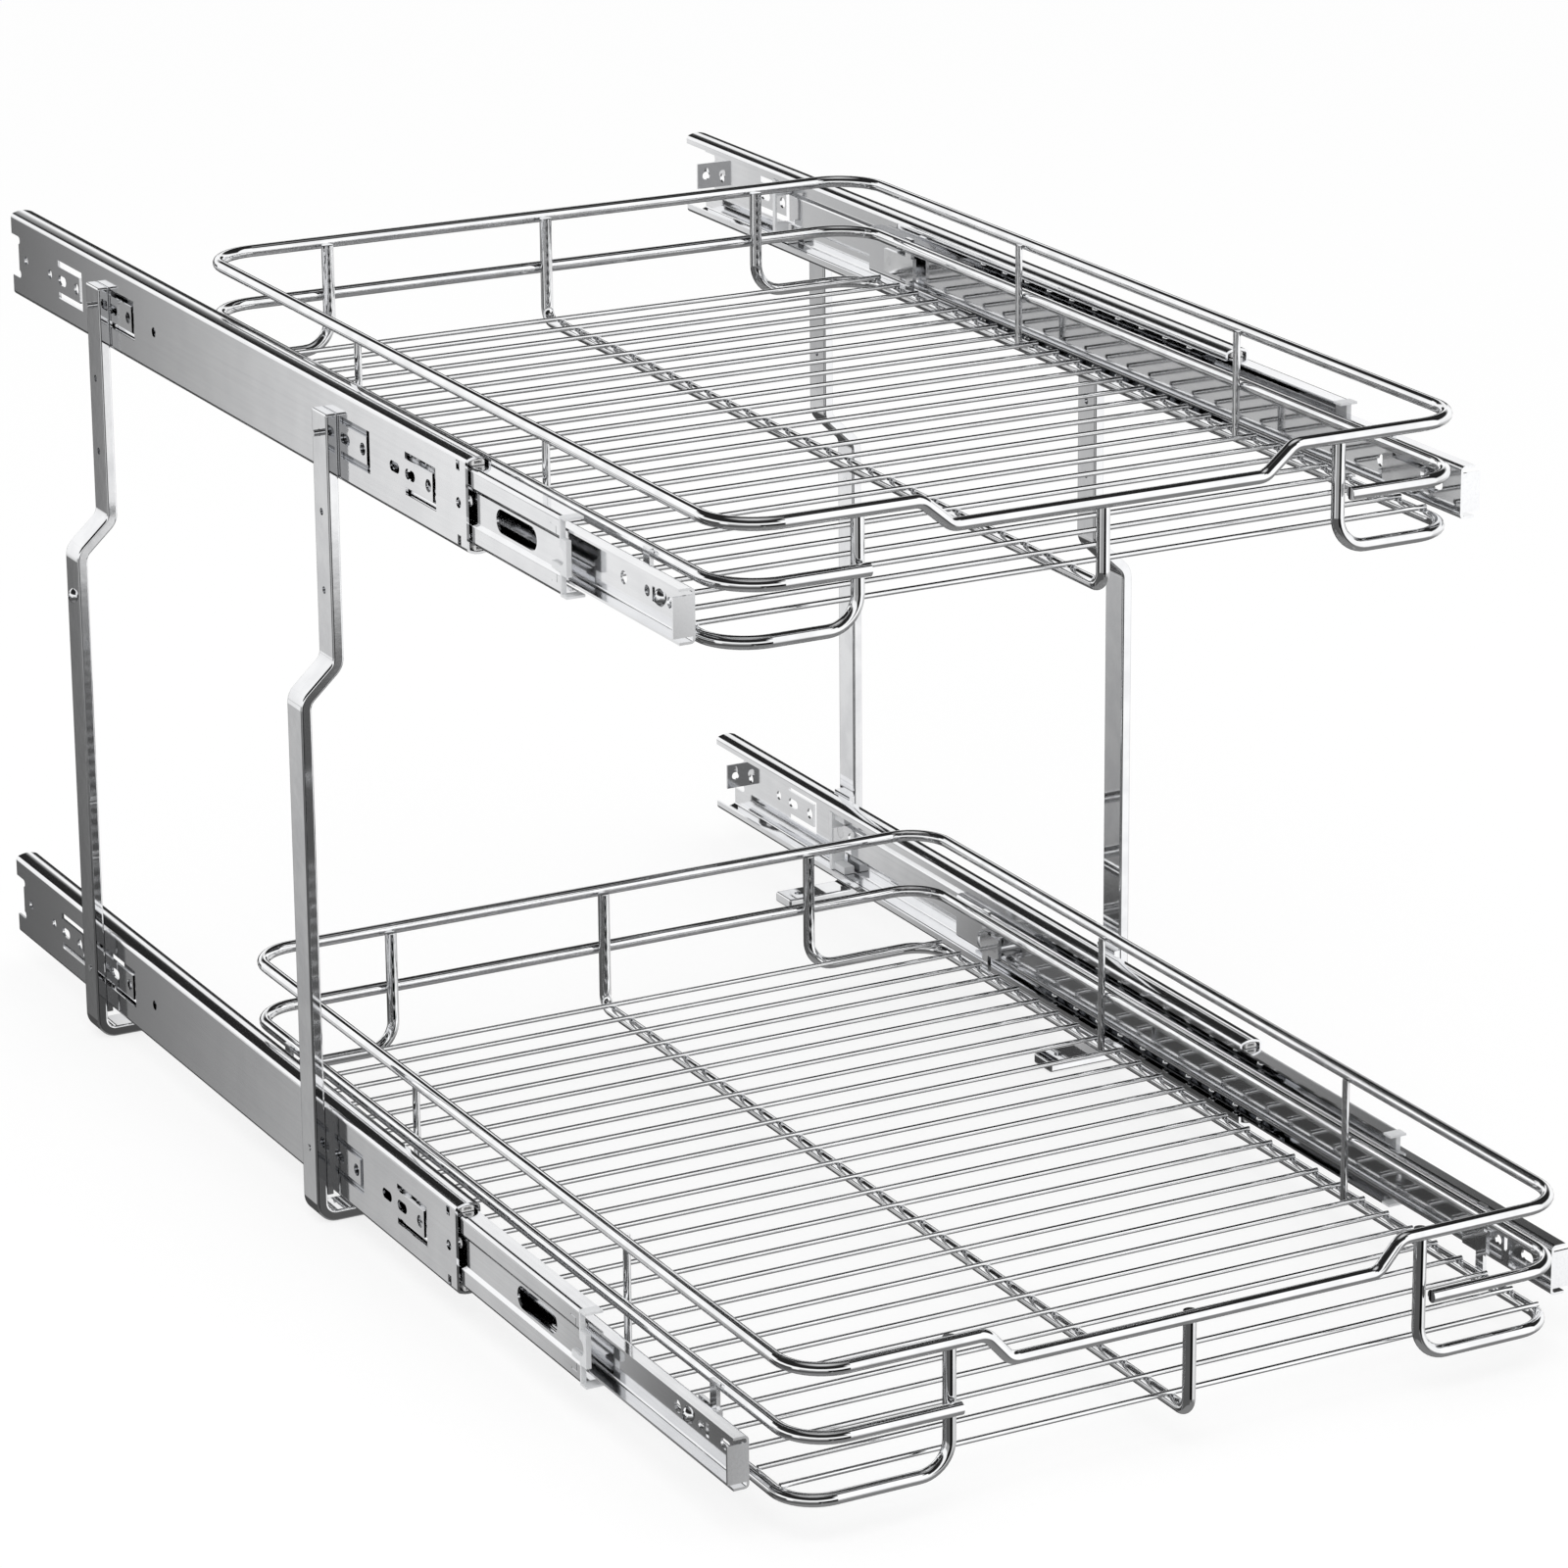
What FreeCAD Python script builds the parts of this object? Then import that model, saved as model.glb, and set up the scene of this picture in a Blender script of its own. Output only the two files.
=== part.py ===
import FreeCAD, Part
import math
import os

import Sketcher
from FreeCAD import Placement, Rotation, Vector

# Driving sizes in millimetres (one slope in degrees): name, value, what it measures.
DIMENSIONS = (
    ("slide_length", 560, "slide: outer member from end to end"),
    ("slide_height", 45, "slide: overall height"),
    ("slide_depth", 12.7, "slide: overall thickness"),
    ("outer_sheet", 1.2, "outer member: sheet thickness"),
    ("outer_bend", 1.6, "outer member: bend radius at mid sheet"),
    ("outer_arch", 12, "outer member: radius of the arched flanges at mid sheet"),
    ("outer_slope", 20, "outer member: slope of the flanges at their edges, in degrees"),
    ("outer_lip", 5.5, "outer member: height of the folded lips"),
    ("outer_race", 3.3, "gap between outer and middle member for the balls"),
    ("outer_cage_slot", 0.8, "gap between the webs of outer and middle member"),
    ("lip_gap", 0.5, "clearance between the lips and the middle member"),
    ("middle_sheet", 1.1, "middle member: sheet thickness"),
    ("middle_bend", 1.6, "middle member: bend radius at mid sheet"),
    ("band_height", 10, "middle member: height of the raised bands"),
    ("web_recess", 1.4, "middle member: step between bands and centre web"),
    ("shoulder_width", 1.8, "middle member: height of the sloping shoulder"),
    ("shoulder_bend", 0.9, "middle member: bend radius of the shoulders"),
    ("inner_race", 4.7, "gap between middle and inner member for the balls"),
    ("inner_cage_slot", 0.7, "gap between middle web and inner member"),
    ("inner_sheet", 1.2, "inner member: sheet thickness"),
    ("inner_bend", 1.6, "inner member: bend radius at mid sheet"),
    ("cage_sheet", 0.4, "ball cages: strip thickness"),
    ("cage_bend", 1.6, "ball cages: bend radius at mid strip"),
    ("outer_cage_length", 250, "outer ball cage: length"),
    ("inner_cage_length", 230, "inner ball cage: length"),
    ("ball_pitch", 22, "ball cages: distance between balls"),
    ("ball_play", 0.1, "clearance round each ball"),
    ("outer_cage_reach", 10.2, "outer ball cage: far edge from the slide's outer face"),
    ("punch", 3.6, "depth of the cuts in the outer member's web"),
    ("notch_height", 22, "outer member: height of the rear notch"),
    ("notch_depth", 9.5, "outer member: depth of the rear notch"),
    ("relief_radius", 2, "outer member: corner relief of the rear notch"),
    ("flap_height", 14, "outer member: height of the rear stop flap"),
    ("flap_reach", 11.5, "outer member: how deep the stop flap stands in"),
    ("flap_hole", 4.5, "outer member: hole in the stop flap"),
    ("stop_clearance", 2, "clearance ahead of the stop flap"),
    ("rear_hole_at", 20, "outer member: first web hole from the back end"),
    ("second_hole_at", 54, "outer member: second web hole from the back end"),
    ("third_hole_at", 195, "outer member: third web hole from the back end"),
    ("mouth_hole_at", 8, "outer member: last web hole from the front end"),
    ("web_hole", 5, "outer member: diameter of the web holes"),
    ("first_tab_at", 66, "outer member: first spring tab from the back end"),
    ("second_tab_at", 136, "outer member: second spring tab from the back end"),
    ("third_tab_at", 137, "outer member: third spring tab from the front end"),
    ("fourth_tab_at", 65, "outer member: fourth spring tab from the front end"),
    ("tab_length", 33, "spring tabs: length"),
    ("tab_slot", 3.4, "spring tabs: width of the slot round them"),
    ("tongue_height", 13.3, "spring tabs: height of the tongue"),
    ("tab_oblong", 10.5, "spring tabs: length of the oblong hole"),
    ("tab_oblong_width", 5, "spring tabs: width of the oblong hole"),
    ("tab_round_at", 25, "spring tabs: round hole from the tab's root"),
    ("tab_round", 6, "spring tabs: diameter of the round hole"),
    ("long_slot_at", 76.7, "outer member: oblong web hole from the front end"),
    ("stake_width", 3.5, "outer member: square holes at the mouth, along the slide"),
    ("stake_height", 4.6, "outer member: square holes at the mouth, height"),
    ("stake_inset", 3, "outer member: square holes from the top and bottom edge"),
    ("middle_setback", 3, "middle member: back end ahead of the outer member's, closed"),
    ("flap_play", 0.5, "middle member: clearance round the stop flap"),
    ("oval_length", 41, "middle member: long hole, length"),
    ("oval_height", 11, "middle member: long hole, height"),
    ("oval_at", 46, "middle member: long hole from the front end"),
    ("tongue_round", 4, "middle member: radius of the round tongue at its front end"),
    ("mark_at", 3, "middle member: stamped corner marks from the front end"),
    ("mark_length", 5.6, "middle member: length of the stamped corner marks"),
    ("mark_height", 4.2, "middle member: height of the stamped corner marks"),
    ("mark_width", 0.5, "middle member: width of the stamped lines"),
    ("mark_depth", 0.3, "middle member: depth of the stamped lines"),
    ("bumper_reach", 6.5, "front bumper: how far it stands ahead of the middle member"),
    ("bumper_plate", 1.2, "front bumper: thickness of the plate on the member's end"),
    ("bumper_lip", 6, "front bumper: reach of the lips above and below the balls"),
    ("bumper_web", 8.2, "front bumper: half height of the stop in the middle"),
    ("bumper_lug", 8, "front bumper: length of the lugs inside the middle member"),
    ("latch_height", 3.4, "front bumper: height of the latch on the member's face"),
    ("latch_at", 5.4, "front bumper: latch below the middle of the slide"),
    ("bumper_gap", 0.3, "clearance between front bumper and inner member"),
    ("cap_thickness", 3, "rear cap: thickness"),
    ("cap_rib", 11, "rear cap: length of its ribs"),
    ("cap_bridge_play", 0.2, "rear cap: clearance to the stop flap's edge"),
    ("buffer_length", 9, "mouth buffers: length"),
    ("buffer_depth", 6.1, "mouth buffers: depth across the slide"),
    ("buffer_height", 2.5, "mouth buffers: height"),
    ("buffer_bend", 1, "mouth buffers: radius of the rounded edges"),
    ("buffer_window", 1.5, "mouth buffers: height of the window in the front"),
    ("buffer_window_width", 4, "mouth buffers: width of the window in the front"),
    ("end_tab_height", 18, "inner member: height of the folded end tab"),
    ("end_tab_edge", 2.4, "inner member: depth at which the end tab's edge lies"),
    ("inner_oblong_at", 19, "inner member: oblong hole from the front end"),
    ("inner_oblong", 9.3, "inner member: length of the oblong hole"),
    ("inner_slit_at", 36, "inner member: upright slit from the front end"),
    ("inner_slit_width", 2.4, "inner member: width of the upright slit"),
    ("inner_slit_height", 6.6, "inner member: height of the upright slit"),
    ("inner_round_at", 42, "inner member: round hole from the front end"),
    ("inner_key_at", 64, "inner member: large round hole from the front end"),
    ("screw_radius", 2, "screws: thread radius"),
    ("screw_play", 0.15, "clearance round a screw in a plain hole"),
    ("thread_play", 0.05, "clearance round a screw in a threaded hole"),
    ("head_radius", 4, "pan-head screws: head radius"),
    ("head_height", 2.6, "pan-head screws: head height"),
    ("flush_head_radius", 3.4, "slide screws: head radius"),
    ("flush_head_height", 0.7, "slide screws: head thickness"),
    ("recess_width", 4.4, "pan-head screws: width of the cross recess"),
    ("recess_bar", 0.8, "pan-head screws: thickness of the cross recess"),
    ("recess_depth", 1.3, "pan-head screws: depth of the cross recess"),
    ("slide_screw_radius", 1.6, "slide screws: thread radius"),
    ("screw_tip", 3.1, "upper slide screws: how far they stand out of the posts"),
    ("lower_screw_tip", 0.4, "lower slide screws: how far they stand out of the posts"),
    ("post_width", 17, "posts: width of the bar"),
    ("post_thickness", 5.5, "posts: thickness of the bar"),
    ("post_edge", 1, "posts: rounding of the bar's edges"),
    ("post_bend", 7.2, "posts: bend radius of the foot at mid bar"),
    ("joggle_bend", 8.4, "posts: bend radius of the joggle at mid bar"),
    ("post_spacing", 284, "front posts to rear posts"),
    ("rear_overhang", 127, "rear posts to the back end of the slides"),
    ("post_rise", 10.2, "posts: top end above the middle of the upper slides"),
    ("joggle_drop", 110.9, "posts: joggle below the middle of the upper slides"),
    ("joggle_height", 16, "posts: height of the joggle"),
    ("foot_length", 46, "posts: length of the foot from the outer face"),
    ("foot_hole", 5, "posts: diameter of the floor screw hole"),
    ("foot_cut", 16, "posts: depth of the cut for the floor screw hole, both ways"),
    ("foot_hole_inset", 10, "posts: floor screw hole from the end of the foot"),
    ("height_hole", 3.5, "posts: diameter of the spare holes"),
    ("height_hole_pitch", 38, "posts: distance between the spare holes"),
    ("rear_screw_drop", 150, "rear posts: round-head screw below the upper slides"),
    ("lower_slide_middle", 36.8, "middle of the lower slides above the floor"),
    ("tier_pitch", 351.5, "lower slides to upper slides"),
    ("spacer_thickness", 2.9, "spacers between lower slides and posts"),
    ("wire", 6, "baskets: diameter of the main wire"),
    ("cross_wire", 2.5, "baskets: diameter of the cross wires"),
    ("side_wire", 3.5, "baskets: diameter of the side uprights"),
    ("weld_gap", 0.04, "baskets: gap where wires meet"),
    ("upright_offset", 119.5, "baskets: side loop uprights from the middle"),
    ("upright_bend", 14.5, "baskets: bend at the foot of the uprights"),
    ("centre_bend", 7, "baskets: bends of the centre loop"),
    ("return_step", 2.5, "baskets: end of the middle rail from the upright's middle"),
    ("dip_bend", 8, "baskets: bend radius of the dip in the top rail"),
    ("upper_width", 366, "upper basket: width between rail centres"),
    ("upper_length", 560, "upper basket: length between rail centres"),
    ("upper_corner", 25, "upper basket: corner radius"),
    ("upper_side_gap", 4.9, "upper basket: rail to inner member"),
    ("upper_out", 197, "upper basket: how far it is pulled out"),
    ("upper_front_reach", 15.4, "upper basket: front rail ahead of the inner members"),
    ("upper_top", 39.4, "upper basket: top rail above the middle of the slide"),
    ("upper_middle", 13.1, "upper basket: middle rail above the middle of the slide"),
    ("upper_bottom", 13.1, "upper basket: bottom rails below the middle of the slide"),
    ("upper_dip", 12.5, "upper basket: depth of the dip in the top rail"),
    ("upper_dip_half", 77.5, "upper basket: half width of the dip's flat"),
    ("upper_dip_run", 15, "upper basket: width of the slope at each end of the dip"),
    ("upper_first_wire", 23.4, "upper basket: first cross wire from the back rail"),
    ("upper_last_wire", 31.2, "upper basket: last cross wire from the front rail"),
    ("upper_tab_at", 50.6, "upper basket: fixing tabs from the inner member's ends"),
    ("upper_screw_at", 30, "upper basket: screws from the inner member's ends"),
    ("lower_width", 387.6, "lower basket: width between rail centres"),
    ("lower_length", 585, "lower basket: length between rail centres"),
    ("lower_corner", 22, "lower basket: corner radius"),
    ("lower_side_gap", 8.3, "lower basket: rail to inner member"),
    ("lower_out", 265, "lower basket: how far it is pulled out"),
    ("lower_front_reach", 25.6, "lower basket: front rail ahead of the inner members"),
    ("lower_top", 46.1, "lower basket: top rail above the middle of the slide"),
    ("lower_middle", 15, "lower basket: middle rail above the middle of the slide"),
    ("lower_bottom", 15.7, "lower basket: bottom rails below the middle of the slide"),
    ("lower_dip", 13.7, "lower basket: depth of the dip in the top rail"),
    ("lower_dip_half", 93, "lower basket: half width of the dip's flat"),
    ("lower_dip_run", 12, "lower basket: width of the slope at each end of the dip"),
    ("lower_first_wire", 16.1, "lower basket: first cross wire from the back rail"),
    ("lower_last_wire", 19.5, "lower basket: last cross wire from the front rail"),
    ("lower_tab_at", 45, "lower basket: fixing tabs from the inner member's ends"),
    ("lower_screw_at", 54, "lower basket: screws from the inner member's ends"),
    ("bar_width", 6, "fixing tabs: width of the upright bar"),
    ("bar_thickness", 2, "fixing tabs: thickness"),
    ("ear_height", 12, "fixing tabs: height of the screw ear"),
    ("boss_radius", 5, "fixing tabs: radius of the boss that meets the slide"),
)

CROSS_WIRE_COUNT = {"upper": 26, "lower": 28}
# Between which cross wires the thin side uprights stand, counted from the back
SIDE_POST_GAPS = {"upper": (7, 17), "lower": (8, 19)}
LONG_AXIS = Vector(0, 0, 1)
NODES = []

doc = FreeCAD.newDocument("two_tier_pull_out_shelf")
sheet = doc.addObject("Spreadsheet::Sheet", "Sizes")
for row, (alias, value, note) in enumerate(DIMENSIONS, start=1):
    sheet.set(f"A{row}", note)
    sheet.set(f"B{row}", str(value))
    sheet.setAlias(f"B{row}", alias)
doc.recompute()


class Size:
    """A length: the sheet expression that gives it and its present value."""

    def __init__(self, text, number):
        self.text = text
        self.number = number

    def joined(self, sign, other, number):
        return Size(f"({self.text} {sign} {as_size(other).text})", number)

    def __add__(self, other):
        return self.joined("+", other, self.number + as_size(other).number)

    def __radd__(self, other):
        return as_size(other) + self

    def __sub__(self, other):
        return self.joined("-", other, self.number - as_size(other).number)

    def __rsub__(self, other):
        return as_size(other) - self

    def __mul__(self, other):
        return self.joined("*", other, self.number * as_size(other).number)

    def __rmul__(self, other):
        return as_size(other) * self

    def __truediv__(self, other):
        return self.joined("/", other, self.number / as_size(other).number)

    def __neg__(self):
        return as_size(0) - self


def as_size(value):
    if isinstance(value, Size):
        return value
    return Size(f"{value:g}", value)


def number(value):
    return as_size(value).number


def point(x, y, z=0):
    return Vector(number(x), number(y), number(z))


class Sheet:
    """Reads a cell of the sheet by its alias, as a Size."""

    def __getattr__(self, alias):
        return Size(f"Sizes.{alias}", float(sheet.get(alias)))


size = Sheet()


# Binding and placing

def bind(item, name, value):
    item.setExpression(name, as_size(value).text)


def place(item, x, y, z, rotation=Rotation()):
    item.Placement = Placement(point(x, y, z), rotation)
    for axis, value in (("x", x), ("y", y), ("z", z)):
        bind(item, f"Placement.Base.{axis}", value)


def keep(item, label):
    item.Label = label
    NODES.append(item)
    return item


# Sketches and the features made from them

def new_body(name):
    return doc.addObject("PartDesign::Body", name)


def new_sketch(body, name, role, height=0):
    sketch = body.newObject("Sketcher::SketchObject", name)
    plane = [item for item in body.Origin.OriginFeatures if item.Role == role][0]
    sketch.AttachmentSupport = (plane, [""])
    sketch.MapMode = "FlatFace"
    bind(sketch, "AttachmentOffset.Base.z", height)
    return sketch


def constrain(sketch, kind, where, value):
    index = sketch.addConstraint(Sketcher.Constraint(kind, *where, number(value)))
    bind(sketch, f"Constraints[{index}]", value)


def pin(sketch, shape, spot, x, y):
    """Ties one point of a sketch shape to the sketch's origin."""
    for kind, value, axis in (("DistanceX", x, -2), ("DistanceY", y, -1)):
        if number(value) == 0:
            sketch.addConstraint(Sketcher.Constraint("PointOnObject", shape, spot, axis))
        else:
            constrain(sketch, kind, (-1, 1, shape, spot), value)


def draw_circle(sketch, x, y, diameter):
    radius = diameter / 2
    circle = Part.Circle(point(x, y), LONG_AXIS, number(radius))
    index = sketch.addGeometry(circle, False)
    constrain(sketch, "Radius", (index,), radius)
    pin(sketch, index, 3, x, y)


def draw_polygon(sketch, corners):
    first = sketch.GeometryCount
    count = len(corners)
    for index, corner in enumerate(corners):
        following = corners[(index + 1) % count]
        sketch.addGeometry(Part.LineSegment(point(*corner), point(*following)), False)
    for index, corner in enumerate(corners):
        before = first + (index - 1) % count
        sketch.addConstraint(Sketcher.Constraint("Coincident", before, 2, first + index, 1))
        pin(sketch, first + index, 1, *corner)


def draw_box(sketch, x, y, width, height):
    """A rectangle centred on x, y."""
    left = x - width / 2
    right = x + width / 2
    low = y - height / 2
    high = y + height / 2
    draw_polygon(sketch, [(left, low), (right, low), (right, high), (left, high)])


def draw_slot(sketch, x, y, length, width):
    """A round-ended slot along the sketch's first axis, centred on x, y."""
    radius = width / 2
    reach = length / 2 - radius
    circle = number(radius)
    ends = []
    for side, start in ((-1, math.pi / 2), (1, -math.pi / 2)):
        centre = x + reach * side
        full = Part.Circle(point(centre, y), LONG_AXIS, circle)
        ends.append(sketch.addGeometry(Part.ArcOfCircle(full, start, start + math.pi), False))
    lines = []
    for side in (1, -1):
        start = point(x - reach, y + radius * side)
        end = point(x + reach, y + radius * side)
        lines.append(sketch.addGeometry(Part.LineSegment(start, end), False))
    left, right = ends
    top, bottom = lines
    for arc, arc_end, line, line_end in ((left, 1, top, 1), (left, 2, bottom, 1),
                                         (right, 1, bottom, 2), (right, 2, top, 2)):
        sketch.addConstraint(Sketcher.Constraint("Tangent", arc, arc_end, line, line_end))
    for arc, side in ((left, -1), (right, 1)):
        constrain(sketch, "Radius", (arc,), radius)
        pin(sketch, arc, 3, x + reach * side, y)


def rounded(points, radii, closed):
    """Straight runs and tangent arcs through points, one radius for each point."""
    turns = []
    count = len(points)
    for index, (corner, radius) in enumerate(zip(points, radii)):
        if radius == 0:
            turns.append((corner, None, corner))
            continue
        back = (points[index - 1] - corner).normalize()
        ahead = (points[(index + 1) % count] - corner).normalize()
        half = back.getAngle(ahead) / 2
        run = radius / math.tan(half)
        middle = corner + (back + ahead).normalize() * (radius / math.sin(half) - radius)
        turns.append((corner + back * run, middle, corner + ahead * run))
    curves = []
    for index in range(count if closed else count - 1):
        here = turns[index]
        following = turns[(index + 1) % count]
        if here[1] is not None:
            curves.append(Part.Arc(*here))
        curves.append(Part.LineSegment(here[2], following[0]))
    return curves


def beside(points, distance):
    """The same run of points moved sideways by distance, to the left of the way it goes."""
    moved = []
    for index, here in enumerate(points):
        normals = []
        for start, end in zip(points[max(index - 1, 0):], points[max(index, 1):index + 2]):
            way = (end - start).normalize()
            normals.append(Vector(-way.y, way.x, 0))
        lean = (normals[0] + normals[-1]).normalize()
        moved.append(here + lean * (distance / lean.dot(normals[0])))
    return moved


def strip(points, bends, thickness):
    """Outline of bent sheet whose middle line runs through points."""
    left = beside(points, thickness / 2)
    right = beside(points, -thickness / 2)
    left_radii = [0]
    right_radii = [0]
    for before, here, after, bend in zip(points, points[1:], points[2:], bends):
        turn = (here - before).cross(after - here).z
        side = thickness / 2 if turn > 0 else -thickness / 2
        left_radii.append(bend - side)
        right_radii.append(bend + side)
    left_radii.append(0)
    right_radii.append(0)
    return rounded(left + right[::-1], left_radii + right_radii[::-1], True)


def pad(body, sketch, length, reverse=False, both_ways=False):
    feature = body.newObject("PartDesign::Pad", "pad")
    feature.Profile = sketch
    feature.SideType = "Symmetric" if both_ways else "One side"
    feature.Reversed = reverse
    bind(feature, "Length", length)
    sketch.Visibility = False
    return feature


def pocket(body, sketch, depth=None):
    """Cuts to both sides of the sketch: right through, or depth in all."""
    feature = body.newObject("PartDesign::Pocket", "pocket")
    feature.Profile = sketch
    feature.SideType = "Symmetric"
    if depth is None:
        feature.Type = "ThroughAll"
    else:
        bind(feature, "Length", depth)
    sketch.Visibility = False
    return feature


def pad_strip(body, points, bends, thickness, length):
    """Bent sheet drawn across the slide and run along it from its back end."""
    sketch = new_sketch(body, "profile", "XZ_Plane", -length[0])
    for curve in strip(points, bends, number(thickness)):
        sketch.addGeometry(curve, False)
    pad(body, sketch, length[1] - length[0], reverse=True)


# Solids from primitives

ALONG_X = Rotation(Vector(0, 1, 0), 90)


def new_box(name, x, y, z, length, width, height):
    box = doc.addObject("Part::Box", name)
    bind(box, "Length", length)
    bind(box, "Width", width)
    bind(box, "Height", height)
    place(box, x, y, z)
    return box


def new_rod(name, x, y, z, radius, length, rotation=ALONG_X):
    rod = doc.addObject("Part::Cylinder", name)
    bind(rod, "Radius", radius)
    bind(rod, "Height", length)
    place(rod, x, y, z, rotation)
    return rod


def new_ball(name, x, y, z, radius):
    ball = doc.addObject("Part::Sphere", name)
    bind(ball, "Radius", radius)
    place(ball, x, y, z)
    return ball


def fused(name, pieces):
    fuse = doc.addObject("Part::MultiFuse", name)
    fuse.Shapes = pieces
    return fuse


def cut(name, base, tool):
    result = doc.addObject("Part::Cut", name)
    result.Base = base
    result.Tool = tool
    return result


def common(name, base, tool):
    result = doc.addObject("Part::Common", name)
    result.Base = base
    result.Tool = tool
    return result


def group(name, pieces):
    compound = doc.addObject("Part::Compound", name)
    compound.Links = pieces
    return compound


def bent_wire(name, points, radii, closed=False):
    """Round wire bent through points."""
    route = doc.addObject("Part::Feature", f"{name}_route")
    route.Shape = Part.Wire([curve.toShape() for curve in rounded(points, radii, closed)])
    start = route.Shape.OrderedEdges[0]
    section = doc.addObject("Part::Circle", f"{name}_section")
    bind(section, "Radius", size.wire / 2)
    way = start.tangentAt(start.FirstParameter)
    section.Placement = Placement(start.valueAt(start.FirstParameter), Rotation(LONG_AXIS, way))
    sweep = doc.addObject("Part::Sweep", name)
    sweep.Sections = [section]
    sweep.Spine = (route, [f"Edge{index + 1}" for index in range(len(route.Shape.Edges))])
    sweep.Solid = True
    return sweep


# Where everything lies. X runs to the right, Y into the cabinet and Z up, from the floor
# in the middle of the four floor screws.

rear_post_y = size.post_spacing / 2
front_post_y = -rear_post_y
slide_back_y = rear_post_y + size.rear_overhang
lower_slide_z = size.lower_slide_middle
upper_slide_z = size.lower_slide_middle + size.tier_pitch

# Slide sections, as depth from the outer face and height from the middle

half_height = size.slide_height / 2
outer_flange = half_height - size.outer_sheet
middle_top = outer_flange - size.outer_race
middle_flange = middle_top - size.middle_sheet
inner_top = middle_flange - size.inner_race
band_face = size.outer_sheet + size.outer_cage_slot
web_face = band_face + size.web_recess
web_back = web_face + size.middle_sheet
middle_edge = size.slide_depth - size.outer_sheet - size.lip_gap
inner_edge = web_back + size.inner_cage_slot
inner_web = size.slide_depth - size.inner_sheet

# Places along the slide, from its back end, with the slide closed

flap_at = size.notch_depth + size.outer_sheet / 2
clear_of_flap = flap_at + size.outer_sheet / 2 + size.stop_clearance
middle_back = size.middle_setback
bumper_front = size.slide_length - size.inner_sheet - size.bumper_gap
middle_front = bumper_front - size.bumper_reach
cage_middle = (size.slide_length - size.buffer_length) / 2


class Tier:
    """One basket with its two slides."""

    def __init__(self, name, slide_z, post_gap, screw_tip):
        self.name = name
        self.slide_z = slide_z
        self.post_gap = post_gap
        self.screw_tip = screw_tip
        self.half_width = self.cell("width") / 2
        self.face = self.half_width + size.wire / 2 + self.cell("side_gap") + size.slide_depth
        self.out = self.cell("out")
        self.front_y = slide_back_y - size.slide_length - self.out - self.cell("front_reach")
        self.back_y = self.front_y + self.cell("length")
        self.top_z = slide_z + self.cell("top")
        self.middle_z = slide_z + self.cell("middle")
        self.bottom_z = slide_z - self.cell("bottom")
        self.dip_z = self.top_z - self.cell("dip")
        self.screw_at = self.cell("screw_at")
        self.tab_at = self.cell("tab_at")

    def cell(self, word):
        return getattr(size, f"{self.name}_{word}")

    def title(self, side, piece):
        return f"{self.name}_{side}_{piece}"


upper = Tier("upper", upper_slide_z, as_size(0), size.screw_tip)
lower = Tier("lower", lower_slide_z, size.spacer_thickness, size.lower_screw_tip)
TIERS = (upper, lower)
SIDES = {"left": Rotation(Vector(1, 0, 0), 180), "right": Rotation(LONG_AXIS, 180)}
SIGNS = {"left": -1, "right": 1}


def place_on_slide(item, tier, side, share):
    """Moves a piece from the closed slide to its place, share of the way out with the tray."""
    place(item, tier.face * SIGNS[side], slide_back_y - tier.out * share, tier.slide_z,
          SIDES[side])


# Outer member

def outer_points():
    """Middle line of the sheet: web, arched flanges and lips, from one lip to the other."""
    mid = size.outer_sheet / 2
    face_x = size.slide_depth - mid
    crown_x = size.slide_depth / 2
    slope = math.radians(number(size.outer_slope))
    peak_z = half_height - mid + size.outer_arch * (1 / math.cos(slope) - 1)
    edge_z = peak_z - (crown_x - mid) * math.tan(slope)
    lip_z = half_height - size.outer_lip
    upper_half = [(mid, edge_z), (crown_x, peak_z), (face_x, edge_z), (face_x, lip_z)]
    lower_half = [(x, -z) for x, z in reversed(upper_half)]
    return [point(*pair) for pair in lower_half + upper_half]


def draw_spring_tab(sketch, root):
    """A tongue with two holes in it and a slot round its three free sides."""
    inner = size.tongue_height / 2
    outer = inner + size.tab_slot
    end = root + size.tab_length
    inside = end - size.tab_slot
    draw_polygon(sketch, [(root, inner), (inside, inner), (inside, -inner), (root, -inner),
                          (root, -outer), (end, -outer), (end, outer), (root, outer)])
    draw_slot(sketch, root + size.tab_oblong / 2, 0, size.tab_oblong, size.tab_oblong_width)
    draw_circle(sketch, root + size.tab_round_at, 0, size.tab_round)


def add_stop_flap(body):
    flap = new_sketch(body, "flap", "XZ_Plane", -flap_at)
    reach = size.flap_reach
    draw_box(flap, reach / 2, as_size(0), reach, size.flap_height)
    draw_circle(flap, reach / 2 + size.outer_sheet / 2, 0, size.flap_hole)
    pad(body, flap, size.outer_sheet, both_ways=True)


def post_places():
    """Both posts' distances from the back end of the slide."""
    return (size.rear_overhang, size.rear_overhang + size.post_spacing)


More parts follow.
